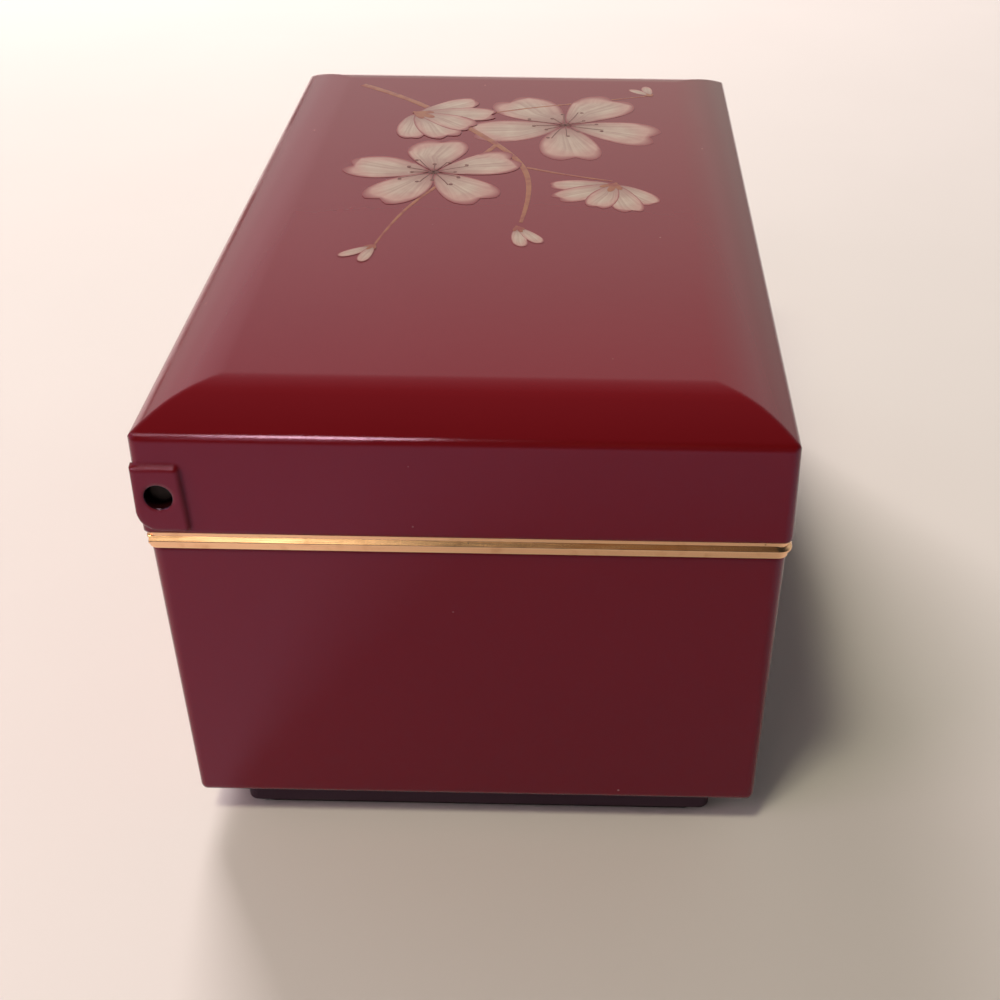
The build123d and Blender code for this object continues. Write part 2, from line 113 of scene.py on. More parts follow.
# The painted spray: each blossom's place and size in millimetres and turn in degrees, then its petals as
# angle, length and width as shares of the size, and notch
OPEN_PETALS = tuple((angle, 1.0, 0.86, 0.12) for angle in (0, 144, 288, 72, 216))
HALF_PETALS = (
    (-62, 0.9, 0.5, 0.05),
    (58, 0.86, 0.52, 0.05),
    (-30, 1.0, 0.66, 0.1),
    (28, 1.02, 0.62, 0.1),
    (0, 0.9, 0.6, 0.08),
)
BUD_PETALS = ((-16, 1.0, 0.46, 0.0), (14, 0.96, 0.44, 0.0))
BLOSSOMS = (
    (31.0, -9.5, 15.5, 20.0, OPEN_PETALS),
    (9.5, 10.0, 13.5, -14.0, OPEN_PETALS),
    (36.0, 15.5, 13.0, 150.0, HALF_PETALS),
    (6.0, -17.5, 10.5, 70.0, HALF_PETALS),
    (-10.5, -3.5, 6.5, 110.0, BUD_PETALS),
    (-17.5, 15.5, 5.5, 60.0, BUD_PETALS),
    (46.0, -24.0, 5.0, -60.0, BUD_PETALS),
)
# Each open blossom's stamens as angle in degrees and length as a share of its size, and their sizes in millimetres
STAMENS = tuple((16 + 30 * step, 0.24 + 0.09 * (step * 5 % 3)) for step in range(12))
STAMEN_WIDTH = 0.18
STAMEN_DOT = 0.32
# Each bud's and half-open blossom's sepals as angle in degrees, and length and width as shares of its size
SEPALS = ((-34, 0.3, 0.12), (32, 0.28, 0.12), (0, 0.36, 0.14))
# Where the layers of paint lie over the lacquer, and how far apart blossoms, petals and sepals are, in millimetres
PAINT_LIFT = 0.01
BLOSSOM_STEP = 0.025
PETAL_STEP = 0.004
DETAIL_LIFT = 0.026
SEPAL_STEP = 0.001
DOT_LIFT = 0.002
TWIG_LIFT = 0.012
# A painted layer's thickness as a share of a twig's round line
TWIG_FLATNESS = 0.03
# Each twig's points as x and y in millimetres and share of its thickness, and its thickness in millimetres
TWIGS = (
    (((50, 26, 1.0), (44, 18, 0.95), (33, 9, 0.85), (22, 1, 0.8), (12, -4, 0.7), (0, -5, 0.55), (-9, -4, 0.4)), 1.3),
    (((22, 1, 0.9), (12, 5, 0.8), (0, 11, 0.6), (-9, 14, 0.5), (-17, 15.5, 0.35)), 0.9),
    (((33, 9, 0.8), (38, 0, 0.7), (42, -12, 0.6), (46, -23, 0.4)), 0.9),
    (((12, -4, 0.8), (9, -10, 0.7), (7, -17, 0.5)), 0.8),
)


# ---------------------------------------------------------------- colours, nodes and materials


def linear(hex_colour):
    """Turns an sRGB hex value into linear red, green, blue and alpha."""
    channels = [int(hex_colour[i : i + 2], 16) / 255 for i in (1, 3, 5)]
    return (*(c / 12.92 if c <= 0.04045 else ((c + 0.055) / 1.055) ** 2.4 for c in channels), 1.0)


def shaded(colour, share):
    """A colour at a share of its brightness."""
    return (*(channel * share for channel in colour[:3]), 1.0)


def per_mm(size):
    """The texture scale that makes one feature this many millimetres across, on coordinates in metres."""
    return 1 / (size * MM)


def set_inputs(tree, node, inputs):
    """Fills a node's inputs, by name or number, with values or with links from other sockets."""
    for name, value in inputs.items():
        if isinstance(value, bpy.types.NodeSocket):
            tree.links.new(value, node.inputs[name])
        else:
            node.inputs[name].default_value = value


def add_node(tree, kind, settings=None, inputs=None):
    """Adds a node, sets its properties and fills its inputs."""
    node = tree.nodes.new(kind)
    for name, value in (settings or {}).items():
        setattr(node, name, value)
    set_inputs(tree, node, inputs or {})
    return node


def new_material(name):
    """Makes an empty node material and returns it with its tree, shader and Object coordinates."""
    material = bpy.data.materials.new(name)
    material.use_nodes = True
    tree = material.node_tree
    tree.nodes.clear()
    shader = add_node(tree, "ShaderNodeBsdfPrincipled")
    add_node(tree, "ShaderNodeOutputMaterial", inputs={"Surface": shader.outputs["BSDF"]})
    place = add_node(tree, "ShaderNodeTexCoord").outputs["Object"]
    return material, tree, shader, place


def mix_colours(tree, factor, first, second, blend="MIX"):
    """A colour that goes from the first to the second, or to their blend, as the factor goes from 0 to 1."""
    mix = add_node(tree, "ShaderNodeMix", {"data_type": "RGBA", "blend_type": blend}, {0: factor, 6: first, 7: second})
    return mix.outputs[2]


def map_range(tree, value, low, high, new_low, new_high):
    """A value rescaled from one range to another and kept within it."""
    return add_node(
        tree,
        "ShaderNodeMapRange",
        inputs={"Value": value, "From Min": low, "From Max": high, "To Min": new_low, "To Max": new_high},
    ).outputs["Result"]


# The clear coat's faint lilac cast, which the paint under it shares
LACQUER_TINT = linear("#edbfff")


def lacquer_material(name, colour, roughness):
    """Polyester lacquer, sprayed and buffed: deep even colour under a clear gloss, with fine orange peel and dust, and
    painted shade in the hinge bores.
    """
    material, tree, shader, place = new_material(name)
    cloud = add_node(tree, "ShaderNodeTexNoise", inputs={"Vector": place, "Scale": per_mm(55), "Detail": 3.0})
    smear = add_node(tree, "ShaderNodeTexNoise", inputs={"Vector": place, "Scale": per_mm(14), "Detail": 5.0})
    peel = add_node(tree, "ShaderNodeTexNoise", inputs={"Vector": place, "Scale": per_mm(2.2), "Detail": 1.0})
    dust = add_node(tree, "ShaderNodeTexVoronoi", inputs={"Vector": place, "Scale": per_mm(7.5)})
    speck = map_range(tree, dust.outputs["Distance"], 0.012, 0.026, 0.8, 0.0)
    body = mix_colours(tree, cloud.outputs["Fac"], shaded(colour, 0.86), colour)
    body = mix_colours(tree, speck, body, linear("#a57a74"))
    # The hinge bores are coloured near black: painted shade in these recesses, which keeps their walls dark under the
    # ceiling light
    low, high = corners("hinge_pin_left")
    centre = (low + high) / 2
    from_axis = add_node(
        tree,
        "ShaderNodeMapping",
        inputs={"Vector": place, "Location": (0.0, -centre.y, -centre.z), "Scale": (0.0, 1.0, 1.0)},
    )
    reach = add_node(tree, "ShaderNodeVectorMath", {"operation": "LENGTH"}, {0: from_axis.outputs["Vector"]})
    painted_bore_shade = map_range(tree, reach.outputs["Value"], BORE_RADIUS * MM, (BORE_RADIUS + 0.05) * MM, 1.0, 0.0)
    body = mix_colours(tree, painted_bore_shade, body, linear("#23090c"))
    gloss = map_range(tree, smear.outputs["Fac"], 0.35, 0.7, roughness, roughness * 2.2)
    # Buffing rounds every arris a little; on curved edges this leaves the shading as it is
    arris = add_node(tree, "ShaderNodeBevel", {"samples": 6}, {"Radius": ARRIS_RADIUS * MM})
    bump = add_node(
        tree,
        "ShaderNodeBump",
        inputs={
            "Height": peel.outputs["Fac"],
            "Strength": 0.05,
            "Distance": 0.1 * MM,
            "Normal": arris.outputs["Normal"],
        },
    )
    set_inputs(
        tree,
        shader,
        {
            "Base Color": body,
            "Roughness": gloss,
            "IOR": 1.5,
            "Specular Tint": LACQUER_TINT,
            "Normal": bump.outputs["Normal"],
        },
    )
    return material


def brass_material():
    """Drawn brass strip, polished and a little tarnished: warm gold, fine lengthwise lines, freckles and dark pits."""
    material, tree, shader, place = new_material("polished_drawn_brass")
    # Strips on the ends run across the box and the others along it, and they meet at a mitre
    sizes = add_node(tree, "ShaderNodeVectorMath", {"operation": "ABSOLUTE"}, {0: place}).outputs["Vector"]
    parts = add_node(tree, "ShaderNodeSeparateXYZ", inputs={"Vector": sizes}).outputs
    excess = add_node(tree, "ShaderNodeMath", {"operation": "SUBTRACT"}, {0: parts["X"], 1: parts["Y"]})
    end = add_node(
        tree, "ShaderNodeMath", {"operation": "GREATER_THAN"}, {0: excess.outputs["Value"], 1: MITRE_EXCESS * MM}
    )
    along = add_node(tree, "ShaderNodeMapping", inputs={"Vector": place, "Scale": (0.03, 1.0, 1.0)}).outputs["Vector"]
    across = add_node(tree, "ShaderNodeMapping", inputs={"Vector": place, "Scale": (1.0, 0.03, 1.0)}).outputs["Vector"]
    stretch = mix_colours(tree, end.outputs["Value"], along, across)
    # The real lines are about 0.05 mm apart; they are drawn at 0.15 mm so that they show
    lines = add_node(tree, "ShaderNodeTexNoise", inputs={"Vector": stretch, "Scale": per_mm(0.15), "Detail": 2.0})
    tarnish = add_node(tree, "ShaderNodeTexNoise", inputs={"Vector": place, "Scale": per_mm(2.2), "Detail": 6.0})
    stain = map_range(tree, tarnish.outputs["Fac"], 0.55, 0.8, 0.0, 0.45)
    pits = add_node(tree, "ShaderNodeTexVoronoi", inputs={"Vector": place, "Scale": per_mm(3.2)})
    pit = map_range(tree, pits.outputs["Distance"], 0.02, 0.045, 0.7, 0.0)
    colour = mix_colours(tree, stain, linear("#f0c199"), linear("#b98053"))
    colour = mix_colours(tree, pit, colour, linear("#6b4526"))
    gloss = map_range(tree, lines.outputs["Fac"], 0.3, 0.7, 0.15, 0.27)
    bump = add_node(
        tree,
        "ShaderNodeBump",
        inputs={"Height": lines.outputs["Fac"], "Strength": 0.12, "Distance": 0.02 * MM},
    )
    set_inputs(
        tree,
        shader,
        {"Base Color": colour, "Metallic": 1.0, "Roughness": gloss, "Normal": bump.outputs["Normal"]},
    )
    return material


def velvet_material(name, dark, light):
    """Cotton velvet, woven and cut to a short pile: matt and deep face on, paler where it is brushed or turns away."""
    material, tree, shader, place = new_material(name)
    brushed = add_node(tree, "ShaderNodeTexNoise", inputs={"Vector": place, "Scale": per_mm(15), "Detail": 2.5})
    # The real pile is about 0.1 mm; it is drawn at 0.35 mm so that it shows
    pile = add_node(tree, "ShaderNodeTexNoise", inputs={"Vector": place, "Scale": per_mm(0.35), "Detail": 2.0})
    patch = map_range(tree, brushed.outputs["Fac"], 0.25, 0.75, 0.0, 1.0)
    colour = mix_colours(tree, patch, dark, light)
    tuft = map_range(tree, pile.outputs["Fac"], 0.3, 0.7, 0.0, 0.35)
    colour = mix_colours(tree, tuft, colour, shaded(dark, 0.45))
    bump = add_node(
        tree,
        "ShaderNodeBump",
        inputs={"Height": pile.outputs["Fac"], "Strength": 0.5, "Distance": 0.15 * MM},
    )
    set_inputs(
        tree,
        shader,
        {
            "Base Color": colour,
            "Roughness": 0.95,
            "Specular IOR Level": 0.15,
            "Sheen Weight": 0.7,
            "Sheen Roughness": 0.4,
            "Sheen Tint": linear("#e08a92"),
            "Normal": bump.outputs["Normal"],
        },
    )
    return material


def felt_material():
    """Pressed wool felt, needled and dyed black: dead matt with short loose fibres and a little grey lint."""
    material, tree, shader, place = new_material("black_wool_felt")
    squeeze = add_node(tree, "ShaderNodeMapping", inputs={"Vector": place, "Scale": (1.0, 0.35, 1.0)})
    fibres = add_node(
        tree,
        "ShaderNodeTexNoise",
        inputs={"Vector": squeeze.outputs["Vector"], "Scale": per_mm(0.3), "Detail": 3.0, "Distortion": 1.5},
    )
    lint = add_node(tree, "ShaderNodeTexNoise", inputs={"Vector": place, "Scale": per_mm(6), "Detail": 5.0})
    speck = map_range(tree, lint.outputs["Fac"], 0.62, 0.75, 0.0, 0.5)
    colour = mix_colours(tree, fibres.outputs["Fac"], linear("#0c0a0c"), linear("#2a2629"))
    colour = mix_colours(tree, speck, colour, linear("#5a5557"))
    bump = add_node(
        tree, "ShaderNodeBump", inputs={"Height": fibres.outputs["Fac"], "Strength": 0.7, "Distance": 0.2 * MM}
    )
    set_inputs(
        tree,
        shader,
        {"Base Color": colour, "Roughness": 1.0, "Specular IOR Level": 0.1, "Normal": bump.outputs["Normal"]},
    )
    return material


def steel_material():
    """Drawn steel wire, oil-blackened: nearly black, a dull glint, and rust starting in spots."""
    material, tree, shader, place = new_material("blackened_steel")
    spots = add_node(tree, "ShaderNodeTexNoise", inputs={"Vector": place, "Scale": per_mm(1.2), "Detail": 5.0})
    rust = map_range(tree, spots.outputs["Fac"], 0.56, 0.68, 0.0, 0.8)
    colour = mix_colours(tree, rust, linear("#2a2424"), linear("#3d241c"))
    gloss = map_range(tree, spots.outputs["Fac"], 0.35, 0.65, 0.38, 0.6)
    set_inputs(tree, shader, {"Base Color": colour, "Metallic": 0.9, "Roughness": gloss})
    return material


def card_material():
    """Grey board, pressed from waste paper: matt, speckled with darker fibres."""
    material, tree, shader, place = new_material("grey_board")
    fibres = add_node(tree, "ShaderNodeTexNoise", inputs={"Vector": place, "Scale": per_mm(0.8), "Detail": 4.0})
    speck = map_range(tree, fibres.outputs["Fac"], 0.4, 0.65, 0.0, 1.0)
    set_inputs(
        tree,
        shader,
        {"Base Color": mix_colours(tree, speck, linear("#8f8678"), linear("#b0a796")), "Roughness": 0.95},
    )
    return material


def mirror_material():
    """Float glass, silvered on the back: a clear reflection with the faintest wiped smears."""
    material, tree, shader, place = new_material("silvered_glass")
    smear = add_node(tree, "ShaderNodeTexNoise", inputs={"Vector": place, "Scale": per_mm(16), "Detail": 5.0})
    gloss = map_range(tree, smear.outputs["Fac"], 0.45, 0.75, 0.01, 0.07)
    shade = map_range(tree, smear.outputs["Fac"], 0.45, 0.8, 0.0, 1.0)
    set_inputs(
        tree,
        shader,
        {
            "Base Color": mix_colours(tree, shade, linear("#e9eeec"), linear("#dfe3e1")),
            "Metallic": 1.0,
            "Roughness": gloss,
        },
    )
    return material


def paint_material(name, pale, edge, shadow, ground):
    """Enamel brushed on under the clear lacquer: soft edged, shaded from its root, with faint brush lines."""
    material, tree, shader, place = new_material(name)
    spread = add_node(tree, "ShaderNodeUVMap", {"uv_map": "petal"}).outputs["UV"]
    parts = add_node(tree, "ShaderNodeSeparateXYZ", inputs={"Vector": spread})
    rim = add_node(tree, "ShaderNodeVectorMath", {"operation": "LENGTH"}, {"Vector": spread}).outputs["Value"]
    wander = add_node(tree, "ShaderNodeTexNoise", inputs={"Vector": place, "Scale": per_mm(3), "Detail": 4.0})
    # Brush lines fan out from the root of each petal, about 0.8 mm apart
    reach = map_range(tree, parts.outputs["Y"], -1.0, 1.0, 0.7, 2.7)
    fan = add_node(tree, "ShaderNodeMath", {"operation": "DIVIDE"}, {0: parts.outputs["X"], 1: reach}).outputs["Value"]
    stripe = add_node(tree, "ShaderNodeTexNoise", {"noise_dimensions": "1D"}, {"W": fan, "Scale": 11.0})
    line = map_range(tree, stripe.outputs["Fac"], 0.42, 0.62, 0.0, 0.4)
    blush = map_range(tree, rim, 0.45, 0.95, 0.0, 0.85)
    root = map_range(tree, parts.outputs["Y"], -0.95, 0.0, 0.9, 0.0)
    colour = mix_colours(tree, line, pale, shadow)
    colour = mix_colours(tree, blush, colour, edge)
    colour = mix_colours(tree, root, colour, shadow)
    thin = map_range(tree, wander.outputs["Fac"], 0.3, 0.7, 0.0, 0.25)
    colour = mix_colours(tree, thin, colour, ground)
    fade = map_range(tree, rim, 0.86, 1.0, 0.0, 1.0)
    colour = mix_colours(tree, fade, colour, ground)
    set_inputs(tree, shader, {"Base Color": colour, "Roughness": 0.08, "IOR": 1.5, "Specular Tint": LACQUER_TINT})
    return material


def twig_material(name, paint, most_thin, ground):
    """Enamel line, thinly brushed: warm brown that lets the lacquer through in places along its length."""
    material, tree, shader, place = new_material(name)
    break_up = add_node(tree, "ShaderNodeTexNoise", inputs={"Vector": place, "Scale": per_mm(1.6), "Detail": 4.0})
    thin = map_range(tree, break_up.outputs["Fac"], 0.42, 0.7, 0.0, most_thin)
    colour = mix_colours(tree, thin, paint, ground)
    set_inputs(tree, shader, {"Base Color": colour, "Roughness": 0.08, "IOR": 1.5, "Specular Tint": LACQUER_TINT})
    return material


# ---------------------------------------------------------------- forms and pieces


def corners(node):
    """A CAD node's lowest and highest corners at rest."""
    return [Vector(corner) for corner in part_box(node)]


def block(low, high):
    """A closed box between two corners."""
    bm = bmesh.new()
    bmesh.ops.create_cube(bm, size=1.0)
    low, high = Vector(low), Vector(high)
    bmesh.ops.scale(bm, vec=high - low, verts=bm.verts)
    bmesh.ops.translate(bm, vec=(high + low) / 2, verts=bm.verts)
    return bm


def upright(edge):
    """Says that an edge runs up and down."""
    first, second = [vert.co for vert in edge.verts]
    return abs(first.z - second.z) > 0.5 * MM


def round_edges(bm, radius, steps, chosen=lambda edge: True):
    """Rounds the chosen edges of a form."""
    edges = [edge for edge in bm.edges if chosen(edge)]
    bmesh.ops.bevel(bm, geom=edges, offset=radius, affect="EDGES", segments=steps, profile=0.5, material=-1)


def cut(bm, axis, place, clear=False):
    """Cuts a form across one axis, and clears what is beyond the cut if asked."""
    normal = Vector((axis == 0, axis == 1, axis == 2))
    bmesh.ops.bisect_plane(
        bm,
        geom=bm.verts[:] + bm.edges[:] + bm.faces[:],
        dist=1e-8,
        plane_co=normal * place,
        plane_no=normal,
        clear_outer=clear,
    )


def slice_along(bm, axis, spacing):
    """Cuts a form into bands of about this width along one axis."""
    places = [vert.co[axis] for vert in bm.verts]
    low, high = min(places), max(places)
    count = max(1, round((high - low) / spacing))
    for step in range(1, count):
        cut(bm, axis, low + (high - low) * step / count)


def add_piece(name, bm, material, body, replaced=(), smooth=True):
    """Turns a form into a piece with its finish, and ties it to its body."""
    bmesh.ops.recalc_face_normals(bm, faces=bm.faces)
    for edge in bm.edges:
        edge.smooth = edge.calc_face_angle(0) < math.radians(SHARP_ANGLE)
    mesh = bpy.data.meshes.new(name)
    bm.to_mesh(mesh)
    bm.free()
    mesh.materials.append(material)
    if smooth:
        mesh.shade_smooth()
    piece = bpy.data.objects.new(name, mesh)
    bpy.context.scene.collection.objects.link(piece)
    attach(piece, body)
    if replaced:
        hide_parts(*replaced)
    return piece


def soften(piece):
    """Smooths a pad's mesh once more."""
    smooth = piece.modifiers.new("smooth", "SUBSURF")
    smooth.levels = smooth.render_levels = 1


def blow_up(bm, pressure, slack, cap, held):
    """Runs cloth on a form under pressure, and caps how far each point may move."""
    scene = bpy.context.scene
    bmesh.ops.scale(bm, vec=(CLOTH_SCALE,) * 3, verts=bm.verts)
    mesh = bpy.data.meshes.new("cloth_form")
    bm.to_mesh(mesh)
    bm.free()
    form = bpy.data.objects.new("cloth_form", mesh)
    scene.collection.objects.link(form)
    group = form.vertex_groups.new(name="held")
    group.add([vert.index for vert in mesh.vertices if held(vert.co / CLOTH_SCALE)], 1.0, "REPLACE")
    cloth = form.modifiers.new("cloth", "CLOTH")
    cloth.settings.quality = 6
    cloth.settings.use_pressure = True
    cloth.settings.uniform_pressure_force = pressure
    cloth.settings.vertex_group_mass = "held"
    cloth.settings.shrink_min = -slack
    cloth.settings.effector_weights.gravity = 0
    cloth.collision_settings.use_collision = False
    for step in range(1, 21):
        scene.frame_set(step)
    moved = bpy.data.meshes.new_from_object(form.evaluated_get(bpy.context.evaluated_depsgraph_get()))
    for vert, start in zip(moved.vertices, mesh.vertices):
        shift = vert.co - start.co
        if shift.length > cap * CLOTH_SCALE:
            vert.co = start.co + shift.normalized() * cap * CLOTH_SCALE
    bm = bmesh.new()
    bm.from_mesh(moved)
    bmesh.ops.scale(bm, vec=(1 / CLOTH_SCALE,) * 3, verts=bm.verts)
    bpy.data.objects.remove(form)
    scene.frame_set(1)
    return bm


def paint_node(node, material):
    """Gives a CAD node's object its finish."""
    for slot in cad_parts[node].material_slots:
        slot.material = material


# ---------------------------------------------------------------- the stage


# The room's brightness against height, from the horizon (0) to straight up (1)
ROOM_LEVELS = (
    (0.0, 0.5),
    (0.1, 0.6),
    (0.18, 0.63),
    (0.28, 0.74),
    (0.4, 0.7),
    (0.5, 0.56),
    (0.66, 0.3),
    (0.85, 0.12),
    (1.0, 0.1),
)
# The room's colour cast in front of the box and behind it
ROOM_CASTS = (linear("#fffff0"), linear("#fffdf9"))
# Each light's place in metres, width, depth, watts and colour. The window lights the far side and the top; the
# ceiling and the shelf under it draw the bright line on the lid's near arris; the wall and its glow lie in the bead's
# slope; the fill keeps the near end from going dark.
LIGHTS = {
    "window_light": ((0.98, 0.36, 0.64), 0.45, 0.45, 19.4, linear("#fff3e6")),
    "ceiling_light": ((-0.38, 0.195, 1.0), 0.14, 0.18, 3.9, linear("#fff8d0")),
    "shelf_light": ((-0.38, 0.33, 1.0), 0.14, 0.08, 0.55, linear("#fff8d0")),
    "wall_light": ((-0.776, 0.235, 0.75), 0.14, 0.29, 0.36, linear("#fff4d8")),
    "wall_glow": ((-0.776, -0.06, 0.75), 0.14, 0.3, 0.03, linear("#ffb866")),
    "fill_light": ((-0.2, 0.27, 0.21), 0.18, 0.18, 0.4, linear("#ffe0e0")),
}
# The point that every light faces, in metres
LIGHT_TARGET = (0, 0, 0.04)


class StageSettings(bpy.types.PropertyGroup):
    """Floor, light and camera."""

    floor_radius: FloatProperty(name="Floor radius", description="Size of the pale floor", default=3.0, unit="LENGTH")
    floor_colour: FloatVectorProperty(
        name="Floor colour", description="Colour of the floor", default=linear("#d6d1d8"), size=4, subtype="COLOR"
    )
    focal_length: FloatProperty(
        name="Focal length", description="Lens on a 36 mm sensor, in millimetres", default=52.997
    )
    camera_place: FloatVectorProperty(
        name="Camera place",
        description="Where the camera stands",
        default=(-202.67 * MM, -13.25 * MM, 145.73 * MM),
        subtype="TRANSLATION",
        unit="LENGTH",
    )
    camera_heading: FloatVectorProperty(
        name="Camera heading", description="The direction the camera looks along", default=(0.83138, 0.00976, -0.55562)
    )
    camera_roll: FloatProperty(
        name="Camera roll", description="Turn about the line of sight", default=math.radians(0.621), subtype="ANGLE"
    )
    camera_shift: FloatProperty(
        name="Camera shift", description="Sideways shift of the frame, as a share of its width", default=-0.0673
    )


def add_light(name, place, width, depth, power, colour):
    """Adds an oblong soft light that faces the box; its depth runs across the box."""
    data = bpy.data.lights.new(name, "AREA")
    data.shape = "RECTANGLE"
    data.size = width
    data.size_y = depth
    data.energy = power
    data.color = colour[:3]
    light = bpy.data.objects.new(name, data)
    bpy.context.scene.collection.objects.link(light)
    light.location = place
    light.rotation_euler = (Vector(LIGHT_TARGET) - Vector(place)).to_track_quat("-Z", "Y").to_euler()
    return light


class BOX_OT_stage(bpy.types.Operator):
    """Makes the pale floor, the soft light and the camera"""

    bl_idname = "jewelry_box.stage"
    bl_label = "Stage"

    def execute(self, context):
        sizes = context.scene.box_stage
        mesh = bpy.data.meshes.new("floor")
        bm = bmesh.new()
        bmesh.ops.create_circle(bm, cap_ends=True, radius=sizes.floor_radius, segments=96)
        bm.to_mesh(mesh)
        bm.free()
        floor = bpy.data.objects.new("floor", mesh)
        context.scene.collection.objects.link(floor)
        # Matt paper: an even pale surface with the faintest mottle
        material, tree, shader, place = new_material("matt_paper")
        mottle = add_node(tree, "ShaderNodeTexNoise", inputs={"Vector": place, "Scale": per_mm(40), "Detail": 2.0})
        pale = tuple(sizes.floor_colour)
        colour = mix_colours(tree, mottle.outputs["Fac"], shaded(pale, 0.97), pale)
        set_inputs(tree, shader, {"Base Color": colour, "Roughness": 0.9, "Specular IOR Level": 0.1})
        mesh.materials.append(material)

        world = bpy.data.worlds.new("soft_room")
        world.use_nodes = True
        tree = world.node_tree
        tree.nodes.clear()
        direction = add_node(tree, "ShaderNodeTexCoord").outputs["Generated"]
        split = add_node(tree, "ShaderNodeSeparateXYZ", inputs={"Vector": direction}).outputs
        ramp = add_node(tree, "ShaderNodeValToRGB", inputs={"Fac": split["Z"]})
        while len(ramp.color_ramp.elements) < len(ROOM_LEVELS):
            ramp.color_ramp.elements.new(0.5)
        for element, (position, level) in zip(ramp.color_ramp.elements, ROOM_LEVELS):
            element.position = position
            element.color = (level, level, level, 1.0)
        ahead = map_range(tree, split["X"], -0.3, 0.3, 0.12, 1.0)
        aside = map_range(tree, split["Y"], -0.5, 0.5, 0.94, 1.1)
        strength = add_node(tree, "ShaderNodeMath", {"operation": "MULTIPLY"}, {0: ahead, 1: aside})
        warmth = map_range(tree, split["Y"], -0.15, 0.35, 0.0, 1.0)
        cast = mix_colours(tree, warmth, *ROOM_CASTS)
        room = mix_colours(tree, 1.0, ramp.outputs["Color"], cast, "MULTIPLY")
        background = add_node(
            tree, "ShaderNodeBackground", inputs={"Color": room, "Strength": strength.outputs["Value"]}
        )
        add_node(tree, "ShaderNodeOutputWorld", inputs={"Surface": background.outputs["Background"]})
        context.scene.world = world

        lights = {name: add_light(name, *values) for name, values in LIGHTS.items()}
        # The window is too wide and bright to lie in the gloss, where the soft room takes its place
        lights["window_light"].visible_glossy = False

        data = bpy.data.cameras.new("camera")
        data.lens = sizes.focal_length
        data.shift_x = sizes.camera_shift
        data.clip_start = 0.01
        camera = bpy.data.objects.new("camera", data)
        context.scene.collection.objects.link(camera)
        heading = Vector(sizes.camera_heading).normalized()
        level_right = heading.cross(Vector((0, 0, 1))).normalized()
        level_up = level_right.cross(heading)
        turn, lift = math.cos(sizes.camera_roll), math.sin(sizes.camera_roll)
        right = level_right * turn + level_up * lift
        up = level_up * turn - level_right * lift
        axes = Matrix((right, up, -heading)).transposed().to_4x4()
        camera.matrix_world = Matrix.Translation(sizes.camera_place) @ axes
        context.scene.camera = camera
        context.scene.view_settings.view_transform = "Standard"
        return {"FINISHED"}


class LacquerSettings(bpy.types.PropertyGroup):
    """Colours and gloss of the lacquered shells."""

    colour: FloatVectorProperty(
        name="Lacquer colour", description="Colour of the shells", default=linear("#6f1016"), size=4, subtype="COLOR"
    )
    roughness: FloatProperty(name="Lacquer roughness", description="How dull the gloss is", default=0.06)


class BOX_OT_shells(bpy.types.Operator):
    """Gives the shells and the foot their lacquer, the trims their brass and the pins and screws their steel"""

    bl_idname = "jewelry_box.shells"
    bl_label = "Shells and Trims"

    def execute(self, context):
        settings = context.scene.box_lacquer
        lacquer = lacquer_material("polyester_lacquer", tuple(settings.colour), settings.roughness)
        finishes = (
            (lacquer, ("base_shell", "lid_shell")),
            (brass_material(), ("base_trim", "lid_trim", "mirror_frame")),
            (lacquer_material("dark_lacquer", linear("#241012"), 0.3), ("plinth",)),
            (steel_material(), ("hinge_pin_left", "hinge_pin_right", "plinth_screws")),
            (card_material(), ("mirror_backing",)),
            (mirror_material(), ("mirror_glass",)),
        )
        for material, nodes in finishes:
            for node in nodes:
                paint_node(node, material)
        return {"FINISHED"}


class BOX_OT_lid_bead(bpy.types.Operator):
    """Makes the sloped brass bead along the front and the ends of the lid's lower edge"""

    bl_idname = "jewelry_box.lid_bead"
    bl_label = "Lid Bead"

    def execute(self, context):
        low, high = corners("lid_trim")
        bottom = low.z + BEAD_LIFT * MM
        top = bottom + BEAD_HEIGHT * MM
        half_length, half_width = high.x + BEAD_PROUD * MM, -low.y + BEAD_PROUD * MM
        bm = block((-half_length, -half_width, bottom), (half_length, half_width, top))

        round_edges(bm, BEAD_CORNER * MM, 10, lambda edge: upright(edge) and edge.verts[0].co.y < 0)
        cut(bm, 2, bottom + BEAD_FACE * MM)
        draw_in = (1 - BEAD_SLOPE * MM / half_length, 1 - BEAD_SLOPE * MM / half_width, 1)
        bmesh.ops.scale(bm, vec=draw_in, verts=[vert for vert in bm.verts if vert.co.z > top - LEVEL * MM])
        broad = [face for face in bm.faces if abs(face.normal.z) > 0.9]
        bmesh.ops.inset_individual(bm, faces=broad, thickness=BEAD_DEPTH * MM, use_even_offset=True)
        rims = [edge for face in broad for edge in face.edges]
        bmesh.ops.delete(bm, geom=broad, context="FACES_ONLY")
        bmesh.ops.bridge_loops(bm, edges=rims)
        cut(bm, 1, BEAD_END * MM, clear=True)
        bmesh.ops.holes_fill(bm, edges=[edge for edge in bm.edges if edge.is_boundary])
        bmesh.ops.recalc_face_normals(bm, faces=bm.faces)

        def outer(edge):
            first, second = [vert.co for vert in edge.verts]
            middle = (first + second) / 2
            inward = min(half_length - abs(middle.x), half_width - abs(middle.y))
            level = abs(first.z - second.z) < LEVEL * MM
            return level and inward < (BEAD_SLOPE + BEAD_FACE) * MM and middle.y < (BEAD_END - LEVEL) * MM

        round_edges(bm, BEAD_ROUND * MM, 2, outer)
        add_piece("lid_bead", bm, bpy.data.materials["polished_drawn_brass"], "lid", smooth=False)
        return {"FINISHED"}


